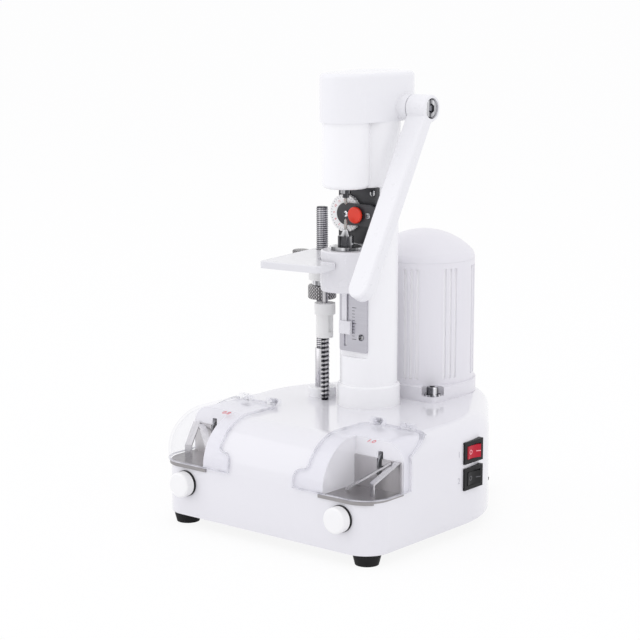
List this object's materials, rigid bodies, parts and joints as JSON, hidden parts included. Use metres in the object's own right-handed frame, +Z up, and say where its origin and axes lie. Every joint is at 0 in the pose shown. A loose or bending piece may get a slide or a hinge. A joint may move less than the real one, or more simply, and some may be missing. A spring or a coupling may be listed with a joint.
{
  "type": "lens drilling machine",
  "caption": "Bench lens drilling machine with opposed spindles on a column, side lever, swing table, rear motor and two guarded grooving pockets.",
  "frame": {"origin": "floor plane, middle of the overall plan", "axes": "+Z up, -Y towards the operator's side with the pockets, +X to the switches' side"},
  "size_m": [0.1886, 0.2344, 0.307],
  "materials": {
    "housing_white": "glossy white moulded plastic",
    "head_white": "smooth semi-gloss white paint",
    "motor_white": "white paint over a finned casting",
    "white_plastic": "satin white plastic",
    "milky_plastic": "milky plastic with polished edges",
    "clear_guard": "clear moulded plastic, slightly milky",
    "rubber_black": "black rubber",
    "belt_black": "black rubber belt",
    "black_plastic": "fine-grained black plastic",
    "black_metal": "satin black paint",
    "red_plastic": "glossy red plastic",
    "pocket_steel": "brushed steel sheet",
    "screw_steel": "turned steel",
    "bit_steel": "ground tool steel",
    "cutter_dark": "dark ground steel",
    "chrome_trim": "bright plated metal",
    "motor_grey": "plain aluminium",
    "bearing_brass": "plain bearing brass",
    "core_iron": "stacked iron sheets"
  },
  "bodies": {
    "machine": {"base_housing": "housing_white", "base_plate": "black_plastic", "rubber_feet": "rubber_black", "machine_screws": "screw_steel", "pocket_floors": "pocket_steel", "pocket_backs": "pocket_steel", "lens_guides": "pocket_steel", "guard_hinges": "clear_guard", "cut_motor": "motor_grey", "knob_rings": "black_plastic", "column_tube": "head_white", "column_collar": "head_white", "head_housing": "head_white", "head_cap": "head_white", "head_deck": "motor_grey", "lever_bearings": "head_white", "shaft_bearings": "bearing_brass", "drive_belts": "belt_black", "front_rod": "screw_steel", "rear_rod": "screw_steel", "dial_bracket": "black_metal", "button_plate": "black_metal", "scale_plate": "pocket_steel", "motor_flange": "motor_white", "motor_housing": "motor_white", "motor_dome": "motor_white", "motor_stator": "core_iron", "motor_screws": "chrome_trim", "switch_bezels": "black_plastic", "power_inlet": "black_plastic"},
    "lever": {"lever_arm": "head_white", "lever_shaft": "screw_steel", "lever_screw": "chrome_trim"},
    "quill": {"quill": "chrome_trim"},
    "upper_spindle": {"upper_spindle": "screw_steel", "upper_bit": "bit_steel"},
    "upper_pulley": {"upper_pulley": "motor_grey"},
    "column_shaft": {"column_shaft": "screw_steel"},
    "motor_rotor": {"motor_rotor": "core_iron"},
    "cutter": {"cutter_shaft": "screw_steel", "cutter_wheels": "cutter_dark"},
    "lower_block": {"lower_block": "head_white"},
    "lower_spindle": {"lower_spindle": "screw_steel", "lower_chuck": "chrome_trim", "lower_bit": "bit_steel"},
    "lift_sleeve": {"lift_sleeve": "white_plastic", "lift_stem": "screw_steel"},
    "table_collar": {"table_neck": "chrome_trim"},
    "table": {"table_hub": "white_plastic", "table_plate": "milky_plastic"},
    "table_nut": {"table_nut": "chrome_trim"},
    "lock_knob": {"lock_knob": "chrome_trim"},
    "dial": {"serrated_dial": "white_plastic"},
    "button": {"red_button": "red_plastic"},
    "rocker_red": {"rocker_red": "red_plastic"},
    "rocker_black": {"rocker_black": "black_plastic"},
    "guard_right": {"guard_right": "clear_guard"},
    "guard_left": {"guard_left": "clear_guard"},
    "knob_right": {"knob_right": "white_plastic"},
    "knob_left": {"knob_left": "white_plastic"}
  },
  "joints": [
    {"name": "lever_press", "type": "hinge", "parent": "machine", "child": "lever", "pos_m": [0, 0.0153, 0.2833], "axis": [1, 0, 0], "range_deg": [0, 13.1], "stiffness_Nm_per_rad": 0.2, "springref_deg": -34.38},
    {"name": "quill_feed", "type": "slide", "parent": "machine", "child": "quill", "axis": [0, 0, -1], "range_m": [0, 0.0081]},
    {"name": "upper_spin", "type": "hinge", "parent": "quill", "child": "upper_spindle", "pos_m": [0, -0.0202, 0.25], "axis": [0, 0, 1], "continuous": true},
    {"name": "pulley_spin", "type": "hinge", "parent": "machine", "child": "upper_pulley", "pos_m": [0, -0.0202, 0.297], "axis": [0, 0, 1], "continuous": true},
    {"name": "column_shaft_spin", "type": "hinge", "parent": "machine", "child": "column_shaft", "pos_m": [0, 0.0058, 0.18], "axis": [0, 0, 1], "continuous": true},
    {"name": "motor_spin", "type": "hinge", "parent": "machine", "child": "motor_rotor", "pos_m": [0, 0.0698, 0.13], "axis": [0, 0, 1], "continuous": true},
    {"name": "cutter_spin", "type": "hinge", "parent": "machine", "child": "cutter", "pos_m": [0, -0.0682, 0.0605], "axis": [1, 0, 0], "continuous": true},
    {"name": "block_slide", "type": "slide", "parent": "machine", "child": "lower_block", "axis": [0, 0, -1], "range_m": [0, 0.012]},
    {"name": "lower_spin", "type": "hinge", "parent": "lower_block", "child": "lower_spindle", "pos_m": [0, -0.0202, 0.19], "axis": [0, 0, 1], "continuous": true},
    {"name": "lift_turn", "type": "hinge", "parent": "lower_block", "child": "lift_sleeve", "pos_m": [-0.03, -0.0057, 0.13], "axis": [0, 0, 1], "range_deg": [0, 1729]},
    {"name": "table_lift", "type": "slide", "parent": "machine", "child": "table_collar", "axis": [0, 0, 1], "range_m": [0, 0.015]},
    {"name": "table_swing", "type": "hinge", "parent": "table_collar", "child": "table", "pos_m": [-0.0409, 0.0046, 0.168], "axis": [0, 0, -1], "range_deg": [0, 90]},
    {"name": "nut_turn", "type": "hinge", "parent": "table_collar", "child": "table_nut", "pos_m": [-0.0409, 0.0046, 0.151], "axis": [0, 0, -1], "range_deg": [0, 3601]},
    {"name": "lock_turn", "type": "hinge", "parent": "table", "child": "lock_knob", "pos_m": [-0.06125, 0.00596, 0.175], "axis": [0, 0, 1], "range_deg": [-180, 180]},
    {"name": "dial_turn", "type": "hinge", "parent": "machine", "child": "dial", "pos_m": [-0.0088, -0.0072, 0.211], "axis": [0, -1, 0], "range_deg": [-150, 150]},
    {"name": "button_push", "type": "slide", "parent": "machine", "child": "button", "axis": [0, 1, 0], "range_m": [0, 0.001], "stiffness_N_per_m": 300, "springref_m": -0.001},
    {"name": "rocker_red_tilt", "type": "hinge", "parent": "machine", "child": "rocker_red", "pos_m": [0.0879, 0.0021, 0.0574], "axis": [0, 0, 1], "range_deg": [0, 18]},
    {"name": "rocker_black_tilt", "type": "hinge", "parent": "machine", "child": "rocker_black", "pos_m": [0.0879, 0.0021, 0.0394], "axis": [0, 0, 1], "range_deg": [0, 18]},
    {"name": "guard_right_lift", "type": "hinge", "parent": "machine", "child": "guard_right", "pos_m": [0.06, -0.0427, 0.0796], "axis": [-1, 0, 0], "range_deg": [0, 80]},
    {"name": "guard_left_lift", "type": "hinge", "parent": "machine", "child": "guard_left", "pos_m": [-0.06, -0.0427, 0.0796], "axis": [-1, 0, 0], "range_deg": [0, 80]},
    {"name": "knob_right_turn", "type": "hinge", "parent": "machine", "child": "knob_right", "pos_m": [0.0675, -0.1087, 0.031], "axis": [0, -1, 0], "range_deg": [-150, 150]},
    {"name": "knob_left_turn", "type": "hinge", "parent": "machine", "child": "knob_left", "pos_m": [-0.0675, -0.1087, 0.031], "axis": [0, -1, 0], "range_deg": [-150, 150]}
  ],
  "couplings": [
    {"joint": "lever_press", "follows": "quill_feed", "rad_per_m": 28.09},
    {"joint": "column_shaft_spin", "follows": "motor_spin", "ratio": 1.1754},
    {"joint": "pulley_spin", "follows": "motor_spin", "ratio": 1.1754},
    {"joint": "upper_spin", "follows": "motor_spin", "ratio": 1.1754},
    {"joint": "lower_spin", "follows": "motor_spin", "ratio": 1.1754},
    {"joint": "lift_turn", "follows": "block_slide", "rad_per_m": 2513.3},
    {"joint": "nut_turn", "follows": "table_lift", "rad_per_m": 4188.8}
  ]
}
